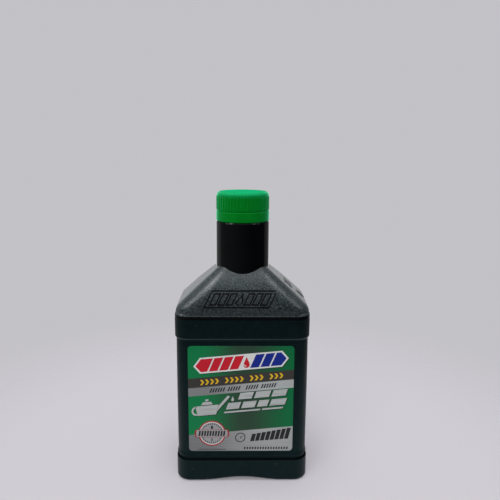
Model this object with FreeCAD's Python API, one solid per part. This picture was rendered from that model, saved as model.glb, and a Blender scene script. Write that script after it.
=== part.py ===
import FreeCAD, Part

# A one-quart motor oil bottle, in millimetres, standing on its base with +Z up and
# its label facing -Y. The origin is on the floor, under the middle of the bottle.
#
# The bottle is one blow-moulded shell. Two proud bands guard a recessed label panel,
# a groove runs round above the lower band, and a four-sided shoulder with rounded
# ridges rises into a tall round neck. The neck steps in to a threaded finish, which
# carries a screw cap with its liner disc and, below the cap, a tamper ring held under
# a bead. A film label lies on the front panel, and the shell is filled with oil.

import math
import os

from FreeCAD import Vector

# Body of the bottle
WIDTH = 102.6
DEPTH = 67.0
CORNER_R = 11.0
WALL = 0.8
BASE_EDGE = 2.4
LOWER_BAND_HEIGHT = 19.0
GROOVE_HEIGHT = 1.6
GROOVE_DEPTH = 1.3
FLARE_HEIGHT = 3.6
FLARE_INSET = 0.4
PANEL_INSET = 1.1
UPPER_BAND_HEIGHT = 18.6
BAND_EDGE = 1.0

# Underside of the base: an arch from front to back, and a dish between the feet
ARCH_HALF_SPAN = 32.0
ARCH_RISE = 2.8
DISH_MARGIN = 14.0
DISH_RISE = 4.6
DISH_SLOPE = 5.0
DISH_CORNER_R = 9.0
PINCH_LENGTH = 58.0
PINCH_WIDTH = 0.9
PINCH_HEIGHT = 0.8

# Shoulder: how its flat faces leave the bands and where they meet the neck
SHOULDER_LEDGE = 0.5
SHOULDER_RISE = 30.5
SIDE_ROUND_R = 8.0
FRONT_BULGE = 2.6
RIDGE_R_FOOT = 12.5
RIDGE_R_TOP = 8.0
ROUND_SECTIONS = 2
SLOPE_SECTIONS = 4

# Neck and its threaded finish
NECK_R = 20.7
NECK_LENGTH = 36.3
NECK_EDGE = 1.0
FINISH_R = 17.4
FINISH_LENGTH = 20.2
MOUTH_R = 15.2
MOUTH_CHAMFER = 0.5
NECK_TAPER_LENGTH = 5.0
BEAD_OUT = 1.3
BEAD_HEIGHT = 2.0
BEAD_ABOVE_STEP = 5.2
THREAD_PITCH = 4.233
THREAD_OUT = 1.2
THREAD_ROOT_WIDTH = 2.1
THREAD_CREST_WIDTH = 1.0
THREAD_TURNS = 1.5
THREAD_BELOW_MOUTH = 2.4
THREAD_SINK = 0.4

# Cap
CAP_R = 20.15
CAP_WALL = 1.35
CAP_TOP_THICKNESS = 1.5
CAP_TOP_EDGE = 3.0
RIB_COUNT = 50
RIB_OUT = 0.4
RIB_ROOT_WIDTH = 1.25
RIB_CREST_WIDTH = 0.6
RIB_FOOT = 0.9
RIB_TOP_DROP = 3.2
CAP_THREAD_OUT = 1.25
CAP_THREAD_ROOT_WIDTH = 1.5
CAP_THREAD_CREST_WIDTH = 0.8
CAP_THREAD_TURNS = 1.4
THREAD_FLANK_GAP = 0.25

# Liner disc and tamper ring
LINER_THICKNESS = 1.0
LINER_EDGE_GAP = 0.3
RING_R = 20.5
RING_WALL = 1.0
RING_HEIGHT = 6.6
RING_ABOVE_STEP = 1.2
BRIDGE_COUNT = 8
BRIDGE_WIDTH = 0.8
BRIDGE_DEPTH = 0.4
BRIDGE_HEIGHT = 0.3
LUG_COUNT = 8
LUG_WIDTH = 6.0
LUG_HEIGHT = 1.5
LUG_GAP_TO_BEAD = 0.35
LUG_GAP_TO_FINISH = 0.55

# Label and oil
LABEL_HEIGHT = 86.0
LABEL_SIDE_GAP = 0.2
LABEL_CORNER_R = 2.8
LABEL_THICKNESS = 0.12
LABEL_ABOVE_FLARE = 1.2
LABEL_BELOW_BAND = 5.2
HEADSPACE = 54.0
OIL_GAP = 0.15

# Heights and widths worked out from the sizes above
GROOVE_TOP = LOWER_BAND_HEIGHT + GROOVE_HEIGHT
FLARE_TOP = GROOVE_TOP + FLARE_HEIGHT
LABEL_FOOT = FLARE_TOP + LABEL_ABOVE_FLARE
PANEL_TOP = LABEL_FOOT + LABEL_HEIGHT + LABEL_BELOW_BAND
BAND_TOP = PANEL_TOP + UPPER_BAND_HEIGHT
NECK_FOOT = BAND_TOP + SHOULDER_RISE
NECK_STEP = NECK_FOOT + NECK_LENGTH
MOUTH_TOP = NECK_STEP + FINISH_LENGTH
CAP_CEILING = MOUTH_TOP + LINER_THICKNESS
CAP_TOP = CAP_CEILING + CAP_TOP_THICKNESS
RING_FOOT = NECK_STEP + RING_ABOVE_STEP
RING_TOP = RING_FOOT + RING_HEIGHT
CAP_FOOT = RING_TOP + BRIDGE_HEIGHT
CAP_BORE_R = CAP_R - CAP_WALL
LABEL_WIDTH = WIDTH - 2 * (CORNER_R + LABEL_SIDE_GAP)

AXIS = Vector(0, 0, 1)
ORIGIN = Vector(0, 0, 0)


def rounded_rectangle(half_x, half_y, radius, z):
    """Level outline with round corners, starting in the middle of the +X side."""
    turn = radius * (1 - math.sqrt(0.5))
    edges = []
    start = Vector(half_x, 0, z)
    for sign_x, sign_y, along_x in ((1, 1, False), (-1, 1, True), (-1, -1, False), (1, -1, True)):
        side = Vector(sign_x * half_x, sign_y * (half_y - radius), z)
        end = Vector(sign_x * (half_x - radius), sign_y * half_y, z)
        middle = Vector(sign_x * (half_x - turn), sign_y * (half_y - turn), z)
        if along_x:
            side, end = end, side
        edges.append(Part.LineSegment(start, side).toShape())
        edges.append(Part.Arc(side, middle, end).toShape())
        start = end
    edges.append(Part.LineSegment(start, Vector(half_x, 0, z)).toShape())
    return Part.Wire(edges)


def rounded_prism(half_x, half_y, radius, bottom, top):
    """Upright block with round corners."""
    face = Part.Face(rounded_rectangle(half_x, half_y, radius, bottom))
    return face.extrude(Vector(0, 0, top - bottom))


def level_edges(solid, z):
    """The edges of a solid that lie wholly at one height."""
    return [
        edge
        for edge in solid.Edges
        if abs(edge.BoundBox.ZMin - z) < 1e-4 and abs(edge.BoundBox.ZMax - z) < 1e-4
    ]


def closed_wire(points):
    """Closed outline of straight lines."""
    return Part.makePolygon(points + [points[0]])


def turned(points):
    """Solid of revolution about the bottle's axis, from (radius, height) points."""
    wire = closed_wire([Vector(radius, 0, z) for radius, z in points])
    return Part.Face(wire).revolve(ORIGIN, AXIS, 360)


def around(solid, count, first_angle=0.0):
    """Copies of a solid, evenly spaced about the bottle's axis."""
    copies = []
    for index in range(count):
        copy = solid.copy()
        copy.rotate(ORIGIN, AXIS, first_angle + index * 360.0 / count)
        copies.append(copy)
    return copies


def outer_recess(reach):
    """Section of the ring cut away round the body: panel, flare and groove.

    Drawn in the XZ plane against the +X side, and reach is how far it extends past
    the bands.
    """
    band = WIDTH / 2
    panel = band - PANEL_INSET
    groove = band - GROOVE_DEPTH
    return closed_wire(
        [
            Vector(band + reach, 0, PANEL_TOP + BAND_EDGE),
            Vector(band, 0, PANEL_TOP + BAND_EDGE),
            Vector(panel, 0, PANEL_TOP),
            Vector(panel, 0, FLARE_TOP),
            Vector(band - FLARE_INSET, 0, GROOVE_TOP + GROOVE_HEIGHT / 2),
            Vector(groove, 0, GROOVE_TOP - GROOVE_HEIGHT / 3),
            Vector(groove, 0, LOWER_BAND_HEIGHT + GROOVE_HEIGHT / 3),
            Vector(band, 0, LOWER_BAND_HEIGHT - GROOVE_HEIGHT / 2),
            Vector(band + reach, 0, LOWER_BAND_HEIGHT - GROOVE_HEIGHT / 2),
        ]
    )


def inner_recess(reach, inset):
    """The plainer section that the inner wall follows, without the flare and groove."""
    band = WIDTH / 2 - inset
    panel = band - PANEL_INSET
    foot = LOWER_BAND_HEIGHT - GROOVE_HEIGHT / 2 - inset
    return closed_wire(
        [
            Vector(band + reach, 0, PANEL_TOP + BAND_EDGE),
            Vector(band, 0, PANEL_TOP + BAND_EDGE),
            Vector(panel, 0, PANEL_TOP - BAND_EDGE),
            Vector(panel, 0, foot + PANEL_INSET),
            Vector(band, 0, foot),
            Vector(band + reach, 0, foot),
        ]
    )


def underside(raise_by):
    """The space under the base: the arch, and the dish between the feet."""
    angle = 2 * math.atan(ARCH_RISE / ARCH_HALF_SPAN)
    radius = ARCH_HALF_SPAN / (2 * math.sin(angle))
    side = -DEPTH
    quarter = radius * math.sin(angle / 2)
    dip = radius * (1 - math.cos(angle / 2))
    low, mid, high = raise_by, raise_by + ARCH_RISE / 2, raise_by + ARCH_RISE
    left = Vector(-ARCH_HALF_SPAN, side, low)
    right = Vector(ARCH_HALF_SPAN, side, low)
    turn_left = Vector(-ARCH_HALF_SPAN / 2, side, mid)
    turn_right = Vector(ARCH_HALF_SPAN / 2, side, mid)
    floor_z = -DEPTH
    edges = [
        Part.Arc(left, Vector(quarter - ARCH_HALF_SPAN, side, low + dip), turn_left).toShape(),
        Part.Arc(turn_left, Vector(0, side, high), turn_right).toShape(),
        Part.Arc(turn_right, Vector(ARCH_HALF_SPAN - quarter, side, low + dip), right).toShape(),
        Part.LineSegment(right, Vector(ARCH_HALF_SPAN, side, floor_z)).toShape(),
        Part.LineSegment(
            Vector(ARCH_HALF_SPAN, side, floor_z), Vector(-ARCH_HALF_SPAN, side, floor_z)
        ).toShape(),
        Part.LineSegment(Vector(-ARCH_HALF_SPAN, side, floor_z), left).toShape(),
    ]
    arch = Part.Face(Part.Wire(edges)).extrude(Vector(0, 2 * DEPTH, 0))
    foot_x = WIDTH / 2 - DISH_MARGIN + raise_by
    foot_y = DEPTH / 2 - DISH_MARGIN + raise_by
    dish = Part.makeLoft(
        [
            rounded_rectangle(
                foot_x - slope, foot_y - slope, DISH_CORNER_R - slope, raise_by + height
            )
            for slope, height in ((-DISH_SLOPE, -DISH_RISE), (DISH_SLOPE, DISH_RISE))
        ],
        True,
        True,
    )
    return arch.fuse(dish)


def side_line(height):
    """Half-width of the shoulder at a height above the band.

    The line leaves the band upright, turns inwards on an arc, and runs straight on to
    meet the neck's side where the shoulder ends.
    """
    start = WIDTH / 2 - SHOULDER_LEDGE
    across = NECK_R - start + SIDE_ROUND_R
    reach = math.hypot(across, SHOULDER_RISE)
    lean = math.atan2(SHOULDER_RISE, across) - math.acos(SIDE_ROUND_R / reach)
    if height <= SIDE_ROUND_R * math.sin(lean):
        return start - SIDE_ROUND_R + math.sqrt(SIDE_ROUND_R**2 - height**2)
    return NECK_R + (SHOULDER_RISE - height) * math.tan(lean)


def front_line(height):
    """Half-depth of the shoulder at a height above the band: a power curve to the neck."""
    start = DEPTH / 2 - SHOULDER_LEDGE
    return start - (start - NECK_R) * (height / SHOULDER_RISE) ** FRONT_BULGE


def shoulder(inset):
    """The four-sided shoulder, or the space inside it when inset is the wall."""
    top = SHOULDER_RISE + NECK_R / 3
    heights = [SIDE_ROUND_R * index / ROUND_SECTIONS for index in range(ROUND_SECTIONS)]
    step = (top - SIDE_ROUND_R) / SLOPE_SECTIONS
    heights += [SIDE_ROUND_R + step * index for index in range(SLOPE_SECTIONS + 1)]
    sections = []
    for height in heights:
        ridge_r = RIDGE_R_FOOT + height / top * (RIDGE_R_TOP - RIDGE_R_FOOT)
        sections.append(
            rounded_rectangle(
                side_line(height) - inset,
                front_line(height) - inset,
                ridge_r - inset,
                BAND_TOP + height - inset,
            )
        )
    return Part.makeLoft(sections, True, True)


def body(inset):
    """The body under the shoulder, or the space inside it when inset is the wall."""
    bottom = inset
    block = rounded_prism(
        WIDTH / 2 - inset, DEPTH / 2 - inset, CORNER_R - inset, bottom, BAND_TOP - inset
    )
    block = block.makeChamfer(BASE_EDGE, level_edges(block, bottom))
    if inset == 0:
        block = block.makeChamfer(BAND_EDGE, level_edges(block, BAND_TOP))
    path = rounded_rectangle(WIDTH / 2 - inset, DEPTH / 2 - inset, CORNER_R - inset, 0)
    reach = 2 * PANEL_INSET
    section = outer_recess(reach) if inset == 0 else inner_recess(reach, inset)
    ring = path.makePipeShell([section], True, False)
    return block.cut(ring).cut(underside(inset))


def neck(inset):
    """The round neck, or the way through it when inset is the wall."""
    foot = BAND_TOP + SHOULDER_RISE / 3
    if inset == 0:
        return turned(
            [
                (0, foot),
                (NECK_R, foot),
                (NECK_R, NECK_STEP - NECK_EDGE),
                (NECK_R - NECK_EDGE, NECK_STEP),
                (0, NECK_STEP),
            ]
        )
    shelf = NECK_STEP - inset
    return turned(
        [
            (0, foot),
            (NECK_R - inset, foot),
            (NECK_R - inset, shelf - NECK_TAPER_LENGTH),
            (MOUTH_R, shelf),
            (MOUTH_R, MOUTH_TOP + inset),
            (0, MOUTH_TOP + inset),
        ]
    )


def helical_ridge(root_r, out, root_width, crest_width, sink, turns, start_z):
    """A thread ridge: a trapezium carried up a right-hand helix from start_z."""
    path = Part.makeHelix(THREAD_PITCH, THREAD_PITCH * turns, root_r)
    path.translate(Vector(0, 0, start_z))
    inner = root_r - math.copysign(sink, out)
    profile = closed_wire(
        [
            Vector(inner, 0, start_z - root_width / 2),
            Vector(root_r, 0, start_z - root_width / 2),
            Vector(root_r + out, 0, start_z - crest_width / 2),
            Vector(root_r + out, 0, start_z + crest_width / 2),
            Vector(root_r, 0, start_z + root_width / 2),
            Vector(inner, 0, start_z + root_width / 2),
        ]
    )
    return Part.Wire(path.Edges).makePipeShell([profile], True, True)


NECK_THREAD_START = MOUTH_TOP - THREAD_BELOW_MOUTH - THREAD_PITCH * THREAD_TURNS


def finish():
    """The tube above the neck's step, with its bead and thread."""
    bead_foot = NECK_STEP + BEAD_ABOVE_STEP
    tube = turned(
        [
            (0, NECK_STEP - WALL),
            (FINISH_R, NECK_STEP - WALL),
            (FINISH_R, bead_foot),
            (FINISH_R + BEAD_OUT, bead_foot),
            (FINISH_R + BEAD_OUT, bead_foot + BEAD_HEIGHT / 3),
            (FINISH_R, bead_foot + BEAD_HEIGHT),
            (FINISH_R, MOUTH_TOP - MOUTH_CHAMFER),
            (FINISH_R - MOUTH_CHAMFER, MOUTH_TOP),
            (0, MOUTH_TOP),
        ]
    )
    thread = helical_ridge(
        FINISH_R,
        THREAD_OUT,
        THREAD_ROOT_WIDTH,
        THREAD_CREST_WIDTH,
        THREAD_SINK,
        THREAD_TURNS,
        NECK_THREAD_START,
    )
    return tube.fuse(thread)


def inner_space(inset):
    """Everything inside the wall, from the base to the mouth."""
    return body(inset).fuse([shoulder(inset), neck(inset)])


def bottle():
    """The blow-moulded shell, with the scar of its pinched-off base."""
    scar = Part.makeBox(
        PINCH_LENGTH,
        PINCH_WIDTH,
        PINCH_HEIGHT + WALL / 2,
        Vector(-PINCH_LENGTH / 2, -PINCH_WIDTH / 2, DISH_RISE - PINCH_HEIGHT),
    )
    outside = body(0).fuse([shoulder(0), neck(0), finish()])
    return outside.cut(inner_space(WALL)).fuse(scar).removeSplitter()


def cap():
    """The screw cap: ribbed skirt, rounded top and one inside thread."""
    rib_foot = CAP_FOOT + RIB_FOOT
    rib_top = CAP_TOP - RIB_TOP_DROP
    edge_step = CAP_TOP_EDGE * (1 - math.sqrt(0.5))
    shell = turned(
        [
            (0, CAP_FOOT),
            (CAP_R, CAP_FOOT),
            (CAP_R, CAP_TOP - CAP_TOP_EDGE),
            (CAP_R - edge_step, CAP_TOP - edge_step),
            (CAP_R - CAP_TOP_EDGE, CAP_TOP),
            (0, CAP_TOP),
        ]
    )
    root = RIB_ROOT_WIDTH / 2
    crest = RIB_CREST_WIDTH / 2
    sunk = CAP_R - RIB_OUT
    outer = CAP_R + RIB_OUT
    rib = Part.makeLoft(
        [
            closed_wire(
                [
                    Vector(sunk, -root, rib_foot),
                    Vector(outer, -crest, rib_foot),
                    Vector(outer, crest, rib_foot),
                    Vector(sunk, root, rib_foot),
                ]
            ),
            closed_wire(
                [
                    Vector(sunk, -root, rib_top),
                    Vector(outer, -crest, rib_top),
                    Vector(outer, crest, rib_top),
                    Vector(sunk, root, rib_top),
                ]
            ),
        ],
        True,
        True,
    )
    shell = shell.fuse(around(rib, RIB_COUNT))
    hollow = turned(
        [
            (0, CAP_FOOT - 1),
            (CAP_BORE_R, CAP_FOOT - 1),
            (CAP_BORE_R, CAP_CEILING),
            (0, CAP_CEILING),
        ]
    )
    ridge_drop = (THREAD_ROOT_WIDTH + CAP_THREAD_ROOT_WIDTH) / 2 + THREAD_FLANK_GAP
    thread = helical_ridge(
        CAP_BORE_R,
        -CAP_THREAD_OUT,
        CAP_THREAD_ROOT_WIDTH,
        CAP_THREAD_CREST_WIDTH,
        THREAD_SINK,
        CAP_THREAD_TURNS,
        NECK_THREAD_START - ridge_drop + THREAD_PITCH,
    )
    return shell.cut(hollow).fuse(thread).removeSplitter()


def cap_liner():
    """The sealing disc between the cap's ceiling and the mouth."""
    return Part.makeCylinder(CAP_BORE_R - LINER_EDGE_GAP, LINER_THICKNESS, Vector(0, 0, MOUTH_TOP))


def tamper_ring():
    """The ring that stays on the neck: snapped bridges above, lugs under the bead."""
    ring = turned(
        [
            (RING_R - RING_WALL, RING_FOOT),
            (RING_R, RING_FOOT),
            (RING_R, RING_TOP),
            (RING_R - RING_WALL, RING_TOP),
        ]
    )
    wall_middle = RING_R - RING_WALL / 2
    bridge_corner = Vector(
        wall_middle - BRIDGE_DEPTH / 2, -BRIDGE_WIDTH / 2, RING_TOP - BRIDGE_HEIGHT
    )
    bridge = Part.makeBox(BRIDGE_DEPTH, BRIDGE_WIDTH, 2 * BRIDGE_HEIGHT, bridge_corner)
    lug_tip = FINISH_R + LUG_GAP_TO_FINISH
    lug_top = NECK_STEP + BEAD_ABOVE_STEP - LUG_GAP_TO_BEAD
    lug_section = closed_wire(
        [
            Vector(lug_tip, -LUG_WIDTH / 2, lug_top),
            Vector(wall_middle, -LUG_WIDTH / 2, lug_top - LUG_HEIGHT / 3),
            Vector(wall_middle, -LUG_WIDTH / 2, lug_top - 2 * LUG_HEIGHT),
            Vector(lug_tip, -LUG_WIDTH / 2, lug_top - LUG_HEIGHT / 2),
        ]
    )
    lug = Part.Face(lug_section).extrude(Vector(0, LUG_WIDTH, 0))
    parts = around(bridge, BRIDGE_COUNT) + around(lug, LUG_COUNT, 180.0 / LUG_COUNT)
    return ring.fuse(parts).removeSplitter()


def front_label():
    """The printed film on the front panel."""
    label = rounded_prism(LABEL_WIDTH / 2, LABEL_HEIGHT / 2, LABEL_CORNER_R, 0, LABEL_THICKNESS)
    label.rotate(ORIGIN, Vector(1, 0, 0), 90)
    panel_y = -DEPTH / 2 + PANEL_INSET
    label.translate(Vector(0, panel_y, LABEL_FOOT + LABEL_HEIGHT / 2))
    return label


def oil():
    """The oil, up to its level in the neck, a hair's breadth clear of the wall."""
    level = MOUTH_TOP - HEADSPACE
    below = Part.makeBox(2 * WIDTH, 2 * DEPTH, level, Vector(-WIDTH, -DEPTH, 0))
    return inner_space(WALL + OIL_GAP).common(below)


os.makedirs("parts", exist_ok=True)
PIECES = {
    "bottle": bottle,
    "cap": cap,
    "cap_liner": cap_liner,
    "tamper_ring": tamper_ring,
    "front_label": front_label,
    "oil": oil,
}
for name, make in PIECES.items():
    shape = make()
    shape.exportStep(f"parts/{name}.step")
    print(name, "solids", len(shape.Solids), "cm3", round(shape.Volume / 1000, 2), "valid", shape.isValid())
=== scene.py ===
import math

import bpy
import numpy as np
from mathutils import Matrix


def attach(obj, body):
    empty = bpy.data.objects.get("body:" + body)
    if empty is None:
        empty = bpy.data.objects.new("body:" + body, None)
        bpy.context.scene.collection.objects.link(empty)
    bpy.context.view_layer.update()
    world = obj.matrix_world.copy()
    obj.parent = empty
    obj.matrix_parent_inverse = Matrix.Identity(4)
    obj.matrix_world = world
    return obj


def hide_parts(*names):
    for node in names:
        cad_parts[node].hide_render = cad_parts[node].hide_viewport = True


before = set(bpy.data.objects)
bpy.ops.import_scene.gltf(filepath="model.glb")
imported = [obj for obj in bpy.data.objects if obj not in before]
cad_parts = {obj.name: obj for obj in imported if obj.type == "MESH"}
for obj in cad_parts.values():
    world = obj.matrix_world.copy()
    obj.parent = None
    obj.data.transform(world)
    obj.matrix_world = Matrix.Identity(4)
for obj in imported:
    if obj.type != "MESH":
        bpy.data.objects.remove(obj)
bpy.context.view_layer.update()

# The room: a pale paper floor that fades into a pale backdrop, a broad soft light from
# the front and one from overhead, light panels at both sides, and dim walls. The camera
# stands in front of the label, a little above the cap, and looks slightly down.
CAMERA_PLACE = (-0.0012, -0.4031, 0.2547)
CAMERA_DOWN = 10.7
CAMERA_TURN = -1.0
CAMERA_ROLL = 0.38
CAMERA_LENS = 37.57
PAPER_DARK = (0.2916, 0.2817, 0.3034)
PAPER_LIGHT = (0.3004, 0.2903, 0.3126)
BACKDROP_COLOUR = (0.545, 0.537, 0.570, 1.0)
LAMP_TINT = (0.97, 0.98, 1.0, 1.0)
FLOOR_CLEAR = 0.16
FLOOR_REACH = 0.42
FLOOR_SIDES = 96

camera_data = bpy.data.cameras.new("photo_camera")
camera_data.lens = CAMERA_LENS
camera_data.sensor_width = 36.0
camera_data.clip_start = 0.01
camera = bpy.data.objects.new("photo_camera", camera_data)
camera.matrix_world = (
    Matrix.Translation(CAMERA_PLACE)
    @ Matrix.Rotation(math.radians(CAMERA_TURN), 4, "Z")
    @ Matrix.Rotation(math.radians(90 - CAMERA_DOWN), 4, "X")
    @ Matrix.Rotation(math.radians(CAMERA_ROLL), 4, "Z")
)
bpy.context.scene.collection.objects.link(camera)
bpy.context.scene.camera = camera
bpy.context.scene.view_settings.view_transform = "Standard"


def add_node(tree, kind, inputs=None, **settings):
    """A shader node with its settings, and its inputs set to values or joined to sockets."""
    node = tree.nodes.new(kind)
    for key, value in settings.items():
        setattr(node, key, value)
    for key, value in (inputs or {}).items():
        if isinstance(value, bpy.types.NodeSocket):
            tree.links.new(value, node.inputs[key])
        else:
            node.inputs[key].default_value = value
    return node


def mixed(tree, factor, first, second):
    """Colour that goes from first to second as the factor goes from 0 to 1."""
    node = tree.nodes.new("ShaderNodeMix")
    node.data_type = "RGBA"
    for socket, value in ((node.inputs[0], factor), (node.inputs[6], first), (node.inputs[7], second)):
        if isinstance(value, bpy.types.NodeSocket):
            tree.links.new(value, socket)
        elif isinstance(value, tuple):
            socket.default_value = (*value, 1.0)
        else:
            socket.default_value = value
    return node.outputs[2]


def ranged(tree, value, low, high, to_low=0.0, to_high=1.0, smooth=False):
    """A value carried from the range low..high to the range to_low..to_high, and held there."""
    node = add_node(
        tree,
        "ShaderNodeMapRange",
        {"Value": value, "From Min": low, "From Max": high, "To Min": to_low, "To Max": to_high},
        interpolation_type="SMOOTHSTEP" if smooth else "LINEAR",
    )
    return node.outputs["Result"]


def worked(tree, operation, first, second=0.0, third=0.0):
    """The result of one sum on values or sockets."""
    node = add_node(tree, "ShaderNodeMath", {0: first, 1: second, 2: third}, operation=operation)
    return node.outputs[0]


def noise(tree, place, scale, detail):
    """Cloudy noise about 0.5, with so many cells a metre and so many finer layers."""
    node = add_node(tree, "ShaderNodeTexNoise", {"Vector": place, "Scale": scale, "Detail": detail})
    return node.outputs["Fac"]


def from_upright(tree, place):
    """Distance from the upright axis: the length of the place with its height left out."""
    flat = add_node(
        tree, "ShaderNodeVectorMath", {0: place, 1: (1.0, 1.0, 0.0)}, operation="MULTIPLY"
    ).outputs[0]
    return add_node(tree, "ShaderNodeVectorMath", {0: flat}, operation="LENGTH").outputs["Value"]


paper = bpy.data.materials.new("matt_paper")
paper.use_nodes = True
tree = paper.node_tree
shader = tree.nodes["Principled BSDF"]
shader.inputs["Roughness"].default_value = 0.9
shader.inputs["Specular IOR Level"].default_value = 0.1
place = add_node(tree, "ShaderNodeTexCoord").outputs["Object"]
fibre = noise(tree, place, 900.0, 3.0)
tree.links.new(mixed(tree, fibre, PAPER_DARK, PAPER_LIGHT), shader.inputs["Base Color"])
fade = ranged(tree, from_upright(tree, place), FLOOR_CLEAR, FLOOR_REACH, smooth=True)
beyond = add_node(tree, "ShaderNodeBsdfTransparent")
both = add_node(tree, "ShaderNodeMixShader", {0: fade, 1: shader.outputs[0], 2: beyond.outputs[0]})
tree.links.new(both.outputs[0], tree.nodes["Material Output"].inputs["Surface"])

rim = np.linspace(0, 2 * np.pi, FLOOR_SIDES, endpoint=False)
floor_mesh = bpy.data.meshes.new("paper_floor")
floor_points = np.stack([FLOOR_REACH * np.cos(rim), FLOOR_REACH * np.sin(rim), 0 * rim], -1)
floor_mesh.from_pydata(floor_points.tolist(), [], [tuple(range(FLOOR_SIDES))])
floor_mesh.materials.append(paper)
floor = bpy.data.objects.new("paper_floor", floor_mesh)
bpy.context.scene.collection.objects.link(floor)

world = bpy.data.worlds.new("soft_room")
bpy.context.scene.world = world
world.use_nodes = True
tree = world.node_tree
tree.nodes.clear()
direction = add_node(tree, "ShaderNodeTexCoord").outputs["Generated"]
parts = add_node(tree, "ShaderNodeSeparateXYZ", {"Vector": direction})
beside = ranged(tree, parts.outputs["Y"], 0.22, 0.42, 0.03, 0.22, smooth=True)
behind = ranged(tree, parts.outputs["Y"], 0.80, 0.97, 0.0, 1.05, smooth=True)
low_down = ranged(tree, parts.outputs["Z"], 0.3, 0.7, 1.0, 0.3, smooth=True)
left = ranged(tree, parts.outputs["X"], -0.9, 0.6, 0.14, 0.0)
overhead = ranged(tree, parts.outputs["Z"], 0.78, 0.97, 0.0, 1.1, smooth=True)
wall = worked(tree, "ADD", beside, behind)
level = worked(tree, "ADD", worked(tree, "MULTIPLY_ADD", wall, low_down, left), overhead)
room_light = add_node(tree, "ShaderNodeBackground", {"Color": LAMP_TINT, "Strength": level})
backdrop = add_node(tree, "ShaderNodeBackground", {"Color": BACKDROP_COLOUR, "Strength": 1.0})
seen = add_node(tree, "ShaderNodeLightPath").outputs["Is Camera Ray"]
shown = add_node(tree, "ShaderNodeMixShader", {0: seen, 1: room_light.outputs[0], 2: backdrop.outputs[0]})
add_node(tree, "ShaderNodeOutputWorld", {"Surface": shown.outputs[0]})


def sun(name, elevation, azimuth, strength, spread, gloss=True):
    """A distant soft lamp; azimuth 0 is in front of the label and 90 is on its right.

    With gloss it also shows as a reflection in shiny surfaces, and then it casts no
    shadow, so that only the two broad lights shade the floor.
    """
    data = bpy.data.lights.new(name, "SUN")
    data.energy = strength
    data.angle = math.radians(spread)
    data.use_shadow = not gloss
    lamp = bpy.data.objects.new(name, data)
    lamp.rotation_euler = (math.radians(90 - elevation), 0, math.radians(azimuth))
    lamp.visible_glossy = gloss
    bpy.context.scene.collection.objects.link(lamp)


sun("front_fill", 44, -12, 2.1, 60, gloss=False)
sun("overhead_panel", 85, 0, 2.2, 40, gloss=False)
sun("panel_left", 61, -90, 1.0, 10)
sun("panel_right", 61, 90, 0.5, 10)
sun("low_left", 40, -85, 0.55, 10)
sun("low_right", 40, 85, 0.25, 10)

# The bottle: one blow-moulded polyethylene shell, 0.8 mm thick, closed inside and out.
# Its neck came out of polished mould steel and is glossy, the shoulder's steel was
# grit-blasted and leaves it grained, and the body is satin. Its low groove is painted
# with shade: a darker black that hardly reflects.
WIDTH = 102.6
DEPTH = 67.0
CORNER_R = 11.0
WALL = 0.8
HEEL_R = 2.6
PANEL_TOP = 116.6
PANEL_INSET = 1.1
PANEL_BELLY = 0.35
LIP_R = PANEL_INSET
BAND_TOP = 135.2
SHOULDER_LEDGE = 0.5
SHOULDER_RISE = 30.5
SIDE_ROUND_R = 8.0
SIDE_SWELL = 0.6
FRONT_RISE = 28.8
FRONT_BULGE = 2.5
RIDGE_R_FOOT = 12.5
RIDGE_R_TOP = 8.0
RIDGE_SWELL = 3.6
NECK_R = 20.7
NECK_STEP = 202.0
FINISH_R = 17.4
MOUTH_R = 15.2
MOUTH_TOP = 222.2
MOUTH_EDGE_R = 0.5
BEAD_OUT = 1.3
THREAD_OUT = 1.2
THREAD_PITCH = 4.233
THREAD_START = 213.45
ARCH_HALF = 32.0
ARCH_HEIGHT = 2.8
DISH_DEPTH = 4.6
DISH_HALF_X = 37.3
DISH_HALF_Y = 19.5
GROOVE_FOOT = 17.8
GROOVE_TOP = 18.95
# Painted shade: between these heights the wall takes the neck's darker glossy black, so that the crease
# under the shoulder renders black.
CREASE_SHADE_FOOT = 131.7
CREASE_SHADE_TOP = 134.2
GRAIN_FOOT = 134.3
BLACK_DARK = (0.0006, 0.0030, 0.0035)
BLACK_LIGHT = (0.0021, 0.0060, 0.0069)
GRAIN_DARK = (0.0005, 0.001, 0.001)
GRAIN_LIGHT = (0.037, 0.050, 0.053)
GLOSSY_DARK = (0.0010, 0.0013, 0.0016)
GLOSSY_LIGHT = (0.0015, 0.0019, 0.0024)
GROOVE_SHADE_DARK = (0.0003, 0.0009, 0.0010)
GROOVE_SHADE_LIGHT = (0.0006, 0.0015, 0.0017)
DUST_COLOUR = (0.16, 0.17, 0.17)
SATIN_SPECULAR = 0.21
LIP_HIGHLIGHT_SPECULAR = 0.90
MM = 0.001


def grid_mesh(name, points, wrap=False, start_pole=False, end_pole=False):
    """Mesh object from a rows by columns array of points in millimetres.

    Each cell becomes a quad. With wrap the last column joins the first, so that rows
    are rings, and a pole closes the first or last ring with a fan to its middle.
    """
    rows, columns = points.shape[:2]
    vertices = points.reshape(-1, 3)
    row, column = np.meshgrid(
        np.arange(rows - 1), np.arange(columns if wrap else columns - 1), indexing="ij"
    )
    here = row * columns + column
    right = row * columns + (column + 1) % columns
    faces = np.stack([here, right, right + columns, here + columns], -1).reshape(-1, 4).tolist()
    ring = np.arange(columns)
    following = (ring + 1) % columns
    if start_pole:
        middle = len(vertices)
        vertices = np.vstack([vertices, points[0].mean(0)])
        faces += np.stack([np.full(columns, middle), following, ring], -1).tolist()
    if end_pole:
        middle = len(vertices)
        vertices = np.vstack([vertices, points[-1].mean(0)])
        last = (rows - 1) * columns
        faces += np.stack([last + ring, last + following, np.full(columns, middle)], -1).tolist()
    mesh = bpy.data.meshes.new(name)
    mesh.from_pydata((vertices * MM).tolist(), [], faces)
    mesh.polygons.foreach_set("use_smooth", np.ones(len(faces), bool))
    piece = bpy.data.objects.new(name, mesh)
    bpy.context.scene.collection.objects.link(piece)
    return piece


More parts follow.
